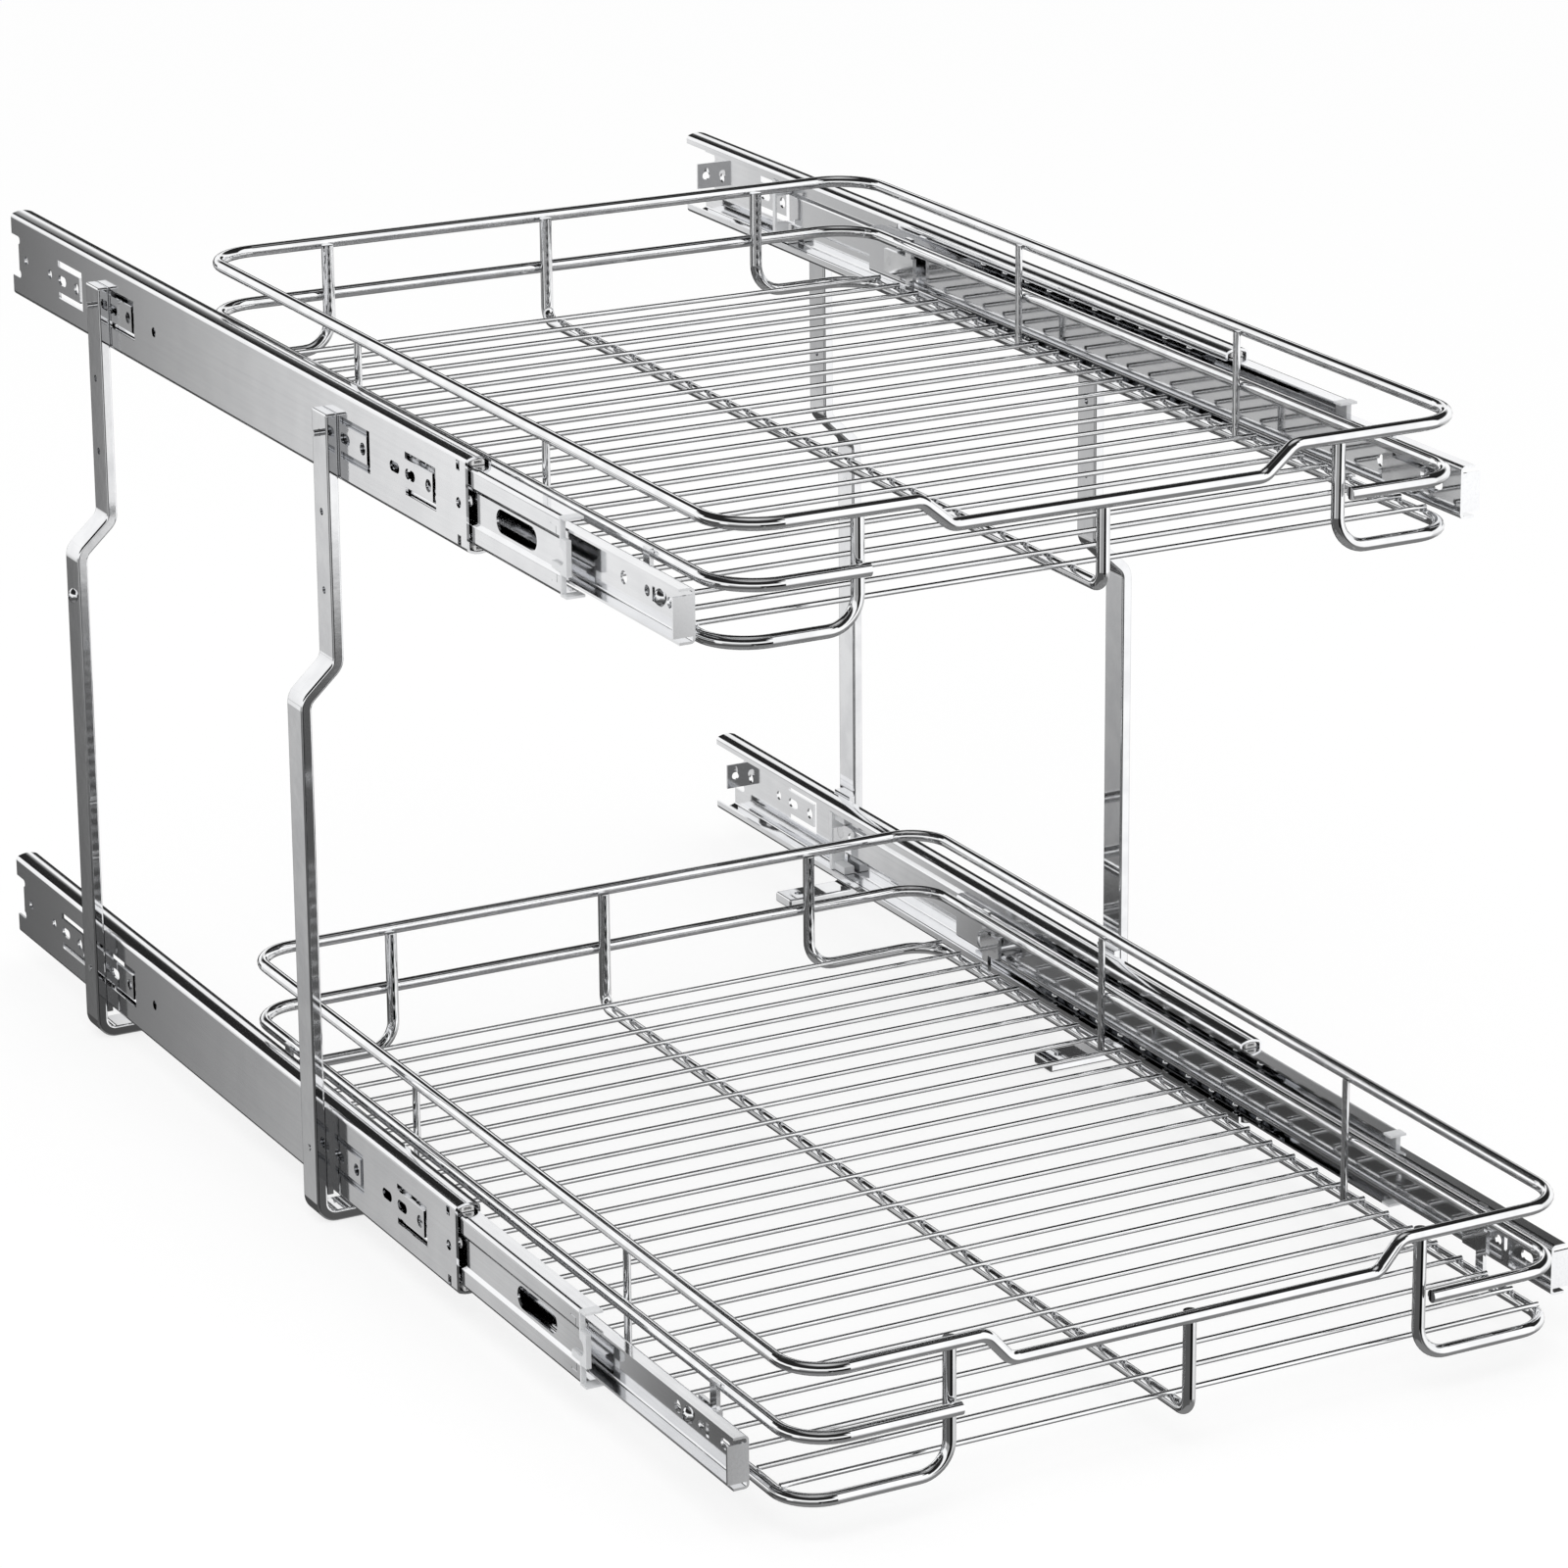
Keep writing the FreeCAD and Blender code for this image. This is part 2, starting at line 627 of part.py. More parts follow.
def add_outer_holes(body):
    notch = new_sketch(body, "notch", "YZ_Plane")
    half = size.notch_height / 2
    draw_polygon(notch, [(as_size(0), -half), (size.notch_depth, -half),
                         (size.notch_depth, half), (as_size(0), half)])
    pocket(body, notch, size.punch)
    relief = new_sketch(body, "relief", "YZ_Plane")
    for side in (-1, 1):
        draw_circle(relief, size.notch_depth, (half - size.relief_radius) * side,
                    size.relief_radius * 2)
    pocket(body, relief, size.punch)
    front = size.slide_length
    for root in (size.first_tab_at, size.second_tab_at, front - size.third_tab_at,
                 front - size.fourth_tab_at):
        tab = new_sketch(body, "tab", "YZ_Plane")
        draw_spring_tab(tab, root)
        pocket(body, tab, size.punch)
    holes = new_sketch(body, "holes", "YZ_Plane")
    for spot in (size.rear_hole_at, size.second_hole_at, size.third_hole_at,
                 front - size.mouth_hole_at):
        draw_circle(holes, spot, 0, size.web_hole)
    draw_slot(holes, front - size.long_slot_at, 0, size.tab_oblong, size.web_hole)
    stake_z = half_height - size.stake_inset - size.stake_height / 2
    for side in (-1, 1):
        draw_box(holes, front - size.mouth_hole_at, stake_z * side, size.stake_width,
                 size.stake_height)
    for spot in post_places():
        draw_circle(holes, spot, 0, (size.slide_screw_radius + size.screw_play) * 2)
    pocket(body, holes, size.punch)
    seats = new_sketch(body, "seats", "YZ_Plane", size.outer_sheet)
    for spot in post_places():
        draw_circle(seats, spot, 0, (size.flush_head_radius + size.screw_play) * 2)
    pocket(body, seats, (size.flush_head_height + size.thread_play) * 2)


def make_outer_member(tier, side):
    body = new_body(tier.title(side, "outer_member"))
    fold = number(size.outer_bend)
    bends = [fold, number(size.outer_arch), fold] * 2
    pad_strip(body, outer_points(), bends, size.outer_sheet, (as_size(0), size.slide_length))
    add_outer_holes(body)
    add_stop_flap(body)
    place_on_slide(body, tier, side, 0)
    keep(body, body.Name)


# Middle member

def middle_points():
    mid = size.middle_sheet / 2
    flange_z = middle_top - mid
    band_x = band_face + mid
    web_x = web_face + mid
    outer_z = middle_top - size.band_height + size.shoulder_width / 2
    inner_z = outer_z - size.shoulder_width
    lower_half = [(middle_edge, -flange_z), (band_x, -flange_z), (band_x, -outer_z),
                  (web_x, -inner_z)]
    upper_half = [(x, -z) for x, z in reversed(lower_half)]
    return [point(*pair) for pair in lower_half + upper_half]


def draw_corner_mark(sketch, way):
    """An L of two thin lines on the band above (way 1) or below (way -1) the web."""
    far = middle_front - size.mark_at
    near = far - size.mark_length
    low = (middle_top - size.band_height + size.shoulder_width / 2) * way
    high = low + size.mark_height * way
    thin = size.mark_width
    draw_polygon(sketch, [(far, low), (far, high), (near, high), (near, high - thin * way),
                          (far - thin, high - thin * way), (far - thin, low)])


def make_middle_member(tier, side):
    body = new_body(tier.title(side, "middle_member"))
    fold = number(size.middle_bend)
    soft = number(size.shoulder_bend)
    bends = [fold, soft, soft, soft, soft, fold]
    pad_strip(body, middle_points(), bends, size.middle_sheet, (middle_back, middle_front))
    holes = new_sketch(body, "holes", "YZ_Plane")
    draw_slot(holes, middle_front - size.oval_at, 0, size.oval_length, size.oval_height)
    notch = (clear_of_flap + middle_back) / 2
    draw_box(holes, notch, as_size(0), clear_of_flap - middle_back + size.flap_play,
             size.flap_height + size.flap_play * 2)
    pocket(body, holes)
    tongue = new_sketch(body, "tongue", "YZ_Plane", web_face)
    draw_circle(tongue, middle_front, 0, size.tongue_round * 2)
    pad(body, tongue, size.middle_sheet)
    marks = new_sketch(body, "marks", "YZ_Plane", band_face)
    for way in (-1, 1):
        draw_corner_mark(marks, way)
    pocket(body, marks, size.mark_depth)
    place_on_slide(body, tier, side, 0.5)
    keep(body, body.Name)


def make_front_bumper(name, side):
    """A plate on the front end of a middle member that leaves the way of the balls open."""
    body = new_body(name)
    half = middle_top
    lip = middle_flange
    plate = new_sketch(body, "plate", "XZ_Plane", -middle_front)
    draw_polygon(plate, [(band_face, -half), (middle_edge, -half), (middle_edge, -lip),
                         (web_back, -lip), (web_back, lip), (middle_edge, lip),
                         (middle_edge, half), (band_face, half)])
    pad(body, plate, size.bumper_plate, reverse=True)
    stop = new_sketch(body, "stop", "XZ_Plane", -middle_front)
    thickness = web_back - band_face
    draw_box(stop, band_face + thickness / 2, as_size(0), thickness, size.bumper_web * 2)
    pad(body, stop, size.bumper_reach, reverse=True)
    lips = new_sketch(body, "lips", "XZ_Plane", -middle_front)
    lugs = new_sketch(body, "lugs", "XZ_Plane", -(middle_front - size.bumper_lug))
    lip_width = middle_edge - band_face
    lug_low = middle_top - size.band_height + size.shoulder_width + size.bumper_gap
    lug_height = middle_flange - size.middle_bend - lug_low
    lug_face = band_face + size.middle_sheet + size.thread_play
    lug_width = web_back - lug_face
    for way in (-1, 1):
        draw_box(lips, band_face + lip_width / 2, (half + lip) / 2 * way, lip_width, half - lip)
        draw_box(lugs, lug_face + lug_width / 2, (lug_low + lug_height / 2) * way, lug_width,
                 lug_height)
    pad(body, lips, size.bumper_lip, reverse=True)
    pad(body, lugs, size.bumper_lug + size.bumper_plate, reverse=True)
    latch = new_sketch(body, "latch", "XZ_Plane", -(middle_front - size.bumper_lug))
    latch_width = web_face - size.thread_play - band_face
    draw_box(latch, band_face + latch_width / 2, size.latch_at * -SIGNS[side], latch_width,
             size.latch_height)
    pad(body, latch, size.bumper_lug + size.bumper_plate, reverse=True)
    seat = new_sketch(body, "seat", "YZ_Plane")
    draw_circle(seat, middle_front, 0, (size.tongue_round + size.thread_play) * 2)
    pocket(body, seat)
    return body


def make_rear_cap(name):
    """A plate with two ribs inside the back end of a middle member."""
    body = new_body(name)
    play = size.bumper_gap
    cap = new_sketch(body, "cap", "XZ_Plane", -middle_back)
    half = middle_flange - play
    slot_half = size.flap_height / 2 + size.flap_play
    bridge = size.flap_reach + size.cap_bridge_play
    low = web_back + play
    deep = size.slide_depth - size.thread_play
    draw_polygon(cap, [(low, -half), (deep, -half), (deep, half), (low, half),
                       (low, slot_half), (bridge, slot_half), (bridge, -slot_half),
                       (low, -slot_half)])
    pad(body, cap, size.cap_thickness, reverse=True)
    ribs = new_sketch(body, "ribs", "XZ_Plane", -(middle_back + size.cap_thickness))
    rib_foot = inner_top + play
    rib_height = half - rib_foot
    for way in (-1, 1):
        draw_box(ribs, (low + middle_edge) / 2, (rib_foot + rib_height / 2) * way,
                 middle_edge - low, rib_height)
    pad(body, ribs, size.cap_rib, reverse=True)
    return body


def make_end_bumpers(tier, side):
    """The plastic caps at both ends of a middle member."""
    name = tier.title(side, "end_bumpers")
    both = group(name, [make_front_bumper(f"{name}_front", side),
                        make_rear_cap(f"{name}_rear")])
    place_on_slide(both, tier, side, 0.5)
    keep(both, name)


# Inner member

def inner_points():
    mid = size.inner_sheet / 2
    flange_z = inner_top - mid
    web_x = inner_web + mid
    return [point(inner_edge, -flange_z), point(web_x, -flange_z), point(web_x, flange_z),
            point(inner_edge, flange_z)]


def make_inner_member(tier, side):
    body = new_body(tier.title(side, "inner_member"))
    front = size.slide_length
    bends = [number(size.inner_bend)] * 2
    pad_strip(body, inner_points(), bends, size.inner_sheet, (clear_of_flap, front))
    tab = new_sketch(body, "end_tab", "XZ_Plane", -(front - size.inner_sheet))
    reach = inner_web + size.inner_sheet / 2 - size.end_tab_edge
    draw_box(tab, size.end_tab_edge + reach / 2, as_size(0), reach, size.end_tab_height)
    pad(body, tab, size.inner_sheet, reverse=True)
    holes = new_sketch(body, "holes", "YZ_Plane")
    screw_hole = (size.screw_radius + size.screw_play) * 2
    draw_slot(holes, front - size.inner_oblong_at, 0, size.inner_oblong, size.web_hole)
    draw_box(holes, front - size.inner_slit_at, as_size(0), size.inner_slit_width,
             size.inner_slit_height)
    draw_circle(holes, front - size.inner_round_at, 0, size.web_hole)
    draw_circle(holes, front - size.inner_key_at, 0, size.tab_round)
    draw_circle(holes, front - tier.screw_at, 0, screw_hole)
    draw_circle(holes, clear_of_flap + tier.screw_at, 0, screw_hole)
    pocket(body, holes)
    place_on_slide(body, tier, side, 1)
    keep(body, body.Name)


# Ball cages and balls

def ball_spots(cage_length):
    count = int(number(cage_length) // number(size.ball_pitch))
    first = cage_middle - size.ball_pitch * ((count - 1) / 2)
    return [first + size.ball_pitch * index for index in range(count)]


def make_cage(tier, side, word, share, length, web_x, strip_z, edge, ball_x, radius):
    """A bent strip with round holes, and the balls that sit in them."""
    body = new_body(tier.title(side, f"{word}_cage"))
    points = [point(edge, -strip_z), point(web_x, -strip_z), point(web_x, strip_z),
              point(edge, strip_z)]
    ends = (cage_middle - length / 2, cage_middle + length / 2)
    pad_strip(body, points, [number(size.cage_bend)] * 2, size.cage_sheet, ends)
    holes = new_sketch(body, "holes", "XY_Plane")
    spots = ball_spots(length)
    for spot in spots:
        draw_circle(holes, ball_x, spot, (radius + size.ball_play) * 2)
    pocket(body, holes)
    place_on_slide(body, tier, side, share)
    keep(body, body.Name)
    name = tier.title(side, f"{word}_balls")
    balls = [new_ball(f"{name}_{index}_{way}", ball_x, spot, strip_z * way, radius)
             for index, spot in enumerate(spots) for way in (-1, 1)]
    balls = group(name, balls)
    place_on_slide(balls, tier, side, share)
    keep(balls, name)


def make_cages(tier, side):
    outer_ball = size.outer_race / 2 - size.ball_play
    outer_z = middle_top + size.outer_race / 2
    web_x = size.outer_sheet + size.outer_cage_slot / 2
    make_cage(tier, side, "outer", 0.25, size.outer_cage_length, web_x, outer_z,
              size.outer_cage_reach, size.slide_depth / 2, outer_ball)
    inner_ball = size.inner_race / 2 - size.ball_play
    inner_z = inner_top + size.inner_race / 2
    web_x = web_back + size.inner_cage_slot / 2
    reach = size.slide_depth - size.cage_sheet
    make_cage(tier, side, "inner", 0.75, size.inner_cage_length, web_x, inner_z, reach,
              (web_x + reach) / 2, inner_ball)


# Mouth buffers

def make_mouth_buffer(name, way):
    """A block under the top flange (way 1) or over the bottom flange (way -1)."""
    body = new_body(name)
    low = middle_top + size.bumper_gap
    high = low + size.buffer_height
    near = (size.slide_depth - size.buffer_depth) / 2
    far = size.slide_depth - near
    outline = [point(near, low), point(near, high), point(far, high), point(far, low)]
    if way < 0:
        outline = [Vector(spot.x, -spot.y, 0) for spot in reversed(outline)]
    soft = number(size.buffer_bend)
    back = size.slide_length - size.buffer_length
    profile = new_sketch(body, "profile", "XZ_Plane", -back)
    for curve in rounded(outline, [0, soft, soft, 0], True):
        profile.addGeometry(curve, False)
    pad(body, profile, size.buffer_length, reverse=True)
    window = new_sketch(body, "window", "XZ_Plane", -size.slide_length)
    draw_box(window, size.slide_depth / 2, (low + high) / 2 * way, size.buffer_window_width,
             size.buffer_window)
    pocket(body, window, size.buffer_length)
    return body


def make_mouth_buffers():
    buffers = []
    for tier in TIERS:
        for side in SIDES:
            name = tier.title(side, "mouth_buffer")
            pair = group(name, [make_mouth_buffer(f"{name}_top", 1),
                                make_mouth_buffer(f"{name}_low", -1)])
            place_on_slide(pair, tier, side, 0)
            buffers.append(pair)
    keep(group("mouth_buffers", buffers), "mouth_buffers")


# Posts

def post_face(tier):
    """Distance from the middle of the shelf to the inner face of the posts at a tier."""
    return tier.face + tier.post_gap


def make_post(name, y, turned, with_rear_screw):
    body = new_body(name)
    mid = size.post_thickness / 2
    upper_x = post_face(upper) + mid
    lower_x = post_face(lower) + mid
    foot_end = post_face(lower) + size.post_thickness - size.foot_length
    joggle_z = upper_slide_z - size.joggle_drop
    points = [point(upper_x, upper_slide_z + size.post_rise), point(upper_x, joggle_z),
              point(lower_x, joggle_z - size.joggle_height), point(lower_x, mid),
              point(foot_end, mid)]
    bends = [number(bend) for bend in (size.joggle_bend, size.joggle_bend, size.post_bend)]
    profile = new_sketch(body, "profile", "XZ_Plane")
    for curve in strip(points, bends, number(size.post_thickness)):
        profile.addGeometry(curve, False)
    bar = pad(body, profile, size.post_width, both_ways=True)
    doc.recompute()
    edges = body.newObject("PartDesign::Fillet", "edges")
    edges.Base = (bar, [""])
    edges.UseAllEdges = True
    bind(edges, "Radius", size.post_edge)
    holes = new_sketch(body, "holes", "YZ_Plane")
    screw_hole = (size.slide_screw_radius + size.screw_play) * 2
    for height in (upper_slide_z, lower_slide_z):
        draw_circle(holes, as_size(0), height, screw_hole)
    for step in (1, 2):
        draw_circle(holes, as_size(0), upper_slide_z - size.height_hole_pitch * step,
                    size.height_hole)
    if with_rear_screw:
        draw_circle(holes, as_size(0), upper_slide_z - size.rear_screw_drop,
                    (size.screw_radius + size.thread_play) * 2)
    pocket(body, holes)
    foot = new_sketch(body, "foot_hole", "XY_Plane")
    draw_circle(foot, foot_end + size.foot_hole_inset, as_size(0), size.foot_hole)
    pocket(body, foot, size.foot_cut)
    place(body, as_size(0), y, as_size(0), Rotation(LONG_AXIS, 180 if turned else 0))
    keep(body, name)


def make_posts():
    for row, y in (("rear", rear_post_y), ("front", front_post_y)):
        for side in SIDES:
            make_post(f"{row}_{side}_post", y, side == "left", row == "rear")


# Screws and spacers

def pan_screw(name, face, along, height, reach):
    """A domed head with a cross recess, its seat at depth face, its thread towards the tray."""
    squares = size.head_radius * size.head_radius + size.head_height * size.head_height
    dome = squares / (size.head_height * 2)
    top = face - size.head_height
    ball = new_ball(f"{name}_dome", top + dome, along, height, dome)
    blank = new_box(f"{name}_blank", top - size.head_height, along - dome, height - dome,
                    size.head_height * 2, dome * 2, dome * 2)
    head = common(f"{name}_head", ball, blank)
    shank = new_rod(f"{name}_shank", face - size.head_height / 2, along, height,
                    size.screw_radius, reach + size.head_height / 2)
    whole = fused(f"{name}_whole", [head, shank])
    arm = size.recess_width
    bar = size.recess_bar
    deep = size.recess_depth
    bars = [new_box(f"{name}_{word}", top - deep, along - wide / 2, height - tall / 2,
                    deep * 2, wide, tall)
            for word, wide, tall in (("flat", arm, bar), ("upright", bar, arm))]
    return cut(name, whole, fused(f"{name}_cross", bars))


def make_slide_screws(tier):
    """Screws from inside each outer member out through the posts."""
    screws = []
    for side in SIDES:
        for row, along in zip(("rear", "front"), post_places()):
            name = f"{tier.name}_{side}_{row}_slide_screw"
            outside = tier.post_gap + size.post_thickness + tier.screw_tip
            seat = size.outer_sheet - size.flush_head_height - size.thread_play
            shank = new_rod(f"{name}_shank", -outside, along, as_size(0),
                            size.slide_screw_radius,
                            outside + seat + size.flush_head_height / 2)
            head = new_rod(f"{name}_head", seat, along, as_size(0), size.flush_head_radius,
                           size.flush_head_height)
            screw = fused(name, [shank, head])
            place_on_slide(screw, tier, side, 0)
            screws.append(screw)
    name = f"{tier.name}_slide_screws"
    keep(group(name, screws), name)


def make_lower_spacers():
    spacers = []
    for side in SIDES:
        for row, along in zip(("rear", "front"), post_places()):
            name = f"{side}_{row}_spacer"
            plate = new_box(f"{name}_plate", -lower.post_gap, along - size.post_width / 2,
                            -half_height, lower.post_gap, size.post_width, size.slide_height)
            bore = new_rod(f"{name}_bore", -lower.post_gap, along, as_size(0),
                           size.slide_screw_radius + size.screw_play, lower.post_gap)
            spacer = cut(name, plate, bore)
            place_on_slide(spacer, lower, side, 0)
            spacers.append(spacer)
    keep(group("lower_spacers", spacers), "lower_spacers")


def make_rear_post_screws():
    """Round-head screws in the outer face of the rear posts."""
    screws = []
    outside = post_face(lower) + size.post_thickness
    for side in SIDES:
        name = f"{side}_rear_post_screw"
        screw = pan_screw(name, as_size(0), as_size(0), as_size(0), size.post_thickness)
        place(screw, outside * SIGNS[side], rear_post_y, upper_slide_z - size.rear_screw_drop,
              SIDES[side])
        screws.append(screw)
    keep(group("rear_post_screws", screws), "rear_post_screws")


# Baskets

def wire_points(corners):
    return [point(*corner) for corner in corners]


def make_top_rail(tier):
    x = tier.half_width
    flat = tier.cell("dip_half")
    slope = flat + tier.cell("dip_run")
    back = tier.back_y
    front = tier.front_y
    top = tier.top_z
    corners = [(x, back, top), (x, front, top), (slope, front, top), (flat, front, tier.dip_z),
               (-flat, front, tier.dip_z), (-slope, front, top), (-x, front, top),
               (-x, back, top)]
    wide = number(tier.cell("corner"))
    dip = number(size.dip_bend)
    name = f"{tier.name}_top_rail"
    radii = [wide, wide, dip, dip, dip, dip, wide, wide]
    keep(bent_wire(name, wire_points(corners), radii, closed=True), name)


def make_middle_rail(tier):
    x = tier.half_width
    z = tier.middle_z
    back = tier.back_y
    front = tier.front_y
    left_end = size.return_step - size.upright_offset
    right_end = size.upright_offset + size.return_step
    corners = [(left_end, front, z), (-x, front, z), (-x, back, z), (x, back, z),
               (x, front, z), (right_end, front, z)]
    wide = number(tier.cell("corner"))
    name = f"{tier.name}_middle_rail"
    keep(bent_wire(name, wire_points(corners), [0, wide, wide, wide, wide, 0]), name)


def inside_ends(tier):
    """Where the uprights stand, just inside the front and back rails."""
    inset = size.wire + size.weld_gap
    return tier.front_y + inset, tier.back_y - inset


def make_side_loop(tier, side):
    sign = SIGNS[side]
    near = size.upright_offset * sign
    far = tier.half_width * sign
    front, back = inside_ends(tier)
    top = tier.top_z
    low = tier.bottom_z
    corners = [(near, front, top), (near, front, low), (far, front, low), (far, back, low),
               (near, back, low), (near, back, top)]
    wide = number(tier.cell("corner") - size.wire / 2)
    fold = number(size.upright_bend)
    name = f"{tier.name}_{side}_side_loop"
    keep(bent_wire(name, wire_points(corners), [0, fold, wide, wide, fold, 0]), name)


def make_centre_loop(tier):
    front, back = inside_ends(tier)
    low = tier.bottom_z
    corners = [(0, front, tier.dip_z), (0, front, low), (0, back, low), (0, back, tier.top_z)]
    fold = number(size.centre_bend)
    name = f"{tier.name}_centre_loop"
    keep(bent_wire(name, wire_points(corners), [0, fold, fold, 0]), name)


def wire_pitch(tier):
    run = tier.cell("length") - tier.cell("first_wire") - tier.cell("last_wire")
    return run / (CROSS_WIRE_COUNT[tier.name] - 1)


def make_cross_wires(tier):
    radius = size.cross_wire / 2
    height = tier.bottom_z + size.wire / 2 + size.weld_gap + radius
    first = tier.back_y - tier.cell("first_wire")
    wires = [new_rod(f"{tier.name}_cross_wire_{index}", -tier.half_width,
                     first - wire_pitch(tier) * index, height, radius, tier.half_width * 2)
             for index in range(CROSS_WIRE_COUNT[tier.name])]
    name = f"{tier.name}_cross_wires"
    keep(group(name, wires), name)


def make_side_posts(tier):
    """Thin uprights inside the side walls, each midway between two cross wires."""
    radius = size.side_wire / 2
    x = tier.half_width - size.wire / 2 - size.weld_gap - radius
    first = tier.back_y - tier.cell("first_wire")
    posts = []
    for gap in SIDE_POST_GAPS[tier.name]:
        for side, sign in SIGNS.items():
            posts.append(new_rod(f"{tier.name}_{side}_side_post_{gap}", x * sign,
                                 first - wire_pitch(tier) * (gap + 0.5), tier.bottom_z, radius,
                                 tier.top_z - tier.bottom_z, Rotation()))
    name = f"{tier.name}_side_posts"
    keep(group(name, posts), name)


def fixing_places(tier):
    """Bar and screw places along the closed slide, at the front and back."""
    front = size.slide_length
    return (("front", front - tier.tab_at, front - tier.screw_at),
            ("rear", clear_of_flap + tier.tab_at, clear_of_flap + tier.screw_at))


def make_fixing_tabs(tier):
    """Bars across the side rails, each with an ear and a boss that meets the inner member."""
    tabs = []
    boss_length = tier.cell("side_gap") - size.weld_gap - size.bar_thickness
    tab_x = size.slide_depth + boss_length
    low = -(tier.cell("bottom") + size.wire / 2)
    tall = tier.cell("bottom") + tier.cell("middle") + size.wire
    for side in SIDES:
        flip = 1 if side == "right" else -1
        for row, bar_at, screw_at in fixing_places(tier):
            name = f"{tier.name}_{side}_{row}_tab"
            bottom = low if flip == 1 else -(low + tall)
            bar = new_box(f"{name}_bar", tab_x, bar_at - size.bar_width / 2, bottom,
                          size.bar_thickness, size.bar_width, tall)
            ear_low, ear_high = sorted((bar_at, screw_at), key=number)
            ear = new_box(f"{name}_ear", tab_x, ear_low - size.boss_radius, -size.ear_height / 2,
                          size.bar_thickness, ear_high - ear_low + size.boss_radius * 2,
                          size.ear_height)
            boss = new_rod(f"{name}_boss", size.slide_depth, screw_at, as_size(0),
                           size.boss_radius, boss_length + size.bar_thickness / 2)
            bore = new_rod(f"{name}_bore", size.slide_depth, screw_at, as_size(0),
                           size.screw_radius + size.thread_play,
                           boss_length + size.bar_thickness)
            tab = cut(name, fused(f"{name}_blank", [bar, ear, boss]), bore)
            place_on_slide(tab, tier, side, 1)
            tabs.append(tab)
    name = f"{tier.name}_fixing_tabs"
    keep(group(name, tabs), name)


def make_basket_screws(tier):
    screws = []
    reach = size.inner_sheet + tier.cell("side_gap") - size.weld_gap
    for side in SIDES:
        for row, _, screw_at in fixing_places(tier):
            name = f"{tier.name}_{side}_{row}_basket_screw"
            screw = pan_screw(name, inner_web, screw_at, as_size(0), reach)
            place_on_slide(screw, tier, side, 1)
            screws.append(screw)
    name = f"{tier.name}_basket_screws"
    keep(group(name, screws), name)


def make_basket(tier):
    make_top_rail(tier)
    make_middle_rail(tier)
    for side in SIDES:
        make_side_loop(tier, side)
    make_centre_loop(tier)
    make_cross_wires(tier)
    make_side_posts(tier)
    make_fixing_tabs(tier)
    make_basket_screws(tier)


def make_slide(tier, side):
    make_outer_member(tier, side)
    make_middle_member(tier, side)
    make_inner_member(tier, side)
    make_cages(tier, side)
    make_end_bumpers(tier, side)


for each_tier in TIERS:
    for each_side in SIDES:
        make_slide(each_tier, each_side)
    make_basket(each_tier)
    make_slide_screws(each_tier)
make_posts()
make_lower_spacers()
make_rear_post_screws()
make_mouth_buffers()
doc.recompute()

# Every feature and every piece is sound before anything is written

faults = [item.Name for item in doc.Objects
          if any(word in item.State for word in ("Invalid", "Error"))]
for node in NODES:
    if node.Shape.isNull() or not node.Shape.isValid() or not node.Shape.Solids:
        faults.append(node.Label)
if faults:
    raise ValueError(f"unsound: {sorted(set(faults))}")

os.makedirs("parts", exist_ok=True)
for node in NODES:
    node.Shape.exportStep(os.path.join("parts", f"{node.Label}.step"))
print(len(NODES), "nodes written")
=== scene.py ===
import math

import bmesh
import bpy
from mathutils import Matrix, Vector

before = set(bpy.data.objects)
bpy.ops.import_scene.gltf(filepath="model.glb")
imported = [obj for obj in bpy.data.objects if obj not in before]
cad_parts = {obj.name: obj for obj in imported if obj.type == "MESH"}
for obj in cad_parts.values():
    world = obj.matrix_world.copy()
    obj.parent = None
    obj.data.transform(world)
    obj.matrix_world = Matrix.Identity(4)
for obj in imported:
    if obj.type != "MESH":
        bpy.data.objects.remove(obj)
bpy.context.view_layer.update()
scene = bpy.context.scene
print("frame loaded:", len(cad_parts), "nodes")


# Shader maths: one socket, with Python's operators on it

class Signal:
    def __init__(self, shader, node, outlet):
        self.shader = shader
        self.node = node
        self.socket = node.outputs[outlet] if len(node.outputs) else None

    def maths(self, operation, first, second=0.0):
        return self.shader.add("ShaderNodeMath", {"operation": operation}, {0: first, 1: second})

    def __add__(self, other):
        return self.maths("ADD", self, other)

    def __sub__(self, other):
        return self.maths("SUBTRACT", self, other)

    def __rsub__(self, other):
        return self.maths("SUBTRACT", other, self)

    def __mul__(self, other):
        return self.maths("MULTIPLY", self, other)

    def __truediv__(self, other):
        return self.maths("DIVIDE", self, other)

    def __abs__(self):
        return self.maths("ABSOLUTE", self)

    def smooth(self, low, high):  # 0 below low, 1 above high, soft between
        return self.shader.add("ShaderNodeMapRange", {"interpolation_type": "SMOOTHSTEP"},
                               {"Value": self, "From Min": low, "From Max": high})


